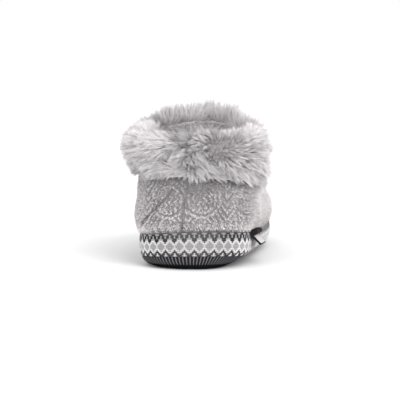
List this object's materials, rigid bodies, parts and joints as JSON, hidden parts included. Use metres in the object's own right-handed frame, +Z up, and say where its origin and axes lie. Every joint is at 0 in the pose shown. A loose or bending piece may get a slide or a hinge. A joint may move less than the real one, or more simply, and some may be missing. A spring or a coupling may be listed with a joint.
{
  "type": "slipper",
  "caption": "Ankle-high plush slipper for the right foot with a deep turned-down fur cuff, a patterned knit band and a soft cupped sole; it holds and warms one foot indoors.",
  "frame": {"origin": "middle of the footprint's bounding box, on the floor under the sole", "axes": "+Y from the heel to the toe, +X to the outer side of the foot, +Z up"},
  "size_m": [0.1192, 0.273, 0.1224],
  "materials": {
    "sole_textile": "matt ribbed textile over foam, with a plain grip cloth underneath",
    "insole_fleece": "short fleece over foam",
    "patterned_knit": "stranded knit in charcoal, white and light grey",
    "plush": "short plush pile with an embossed wave",
    "long_fur": "long soft pile",
    "woven_tab": "blank woven ribbon"
  },
  "bodies": {
    "root": {"outsole": "sole_textile", "insole": "insole_fleece", "knit_band": "patterned_knit", "upper": "plush", "cuff": "long_fur", "side_tab": "woven_tab"}
  },
  "joints": []
}
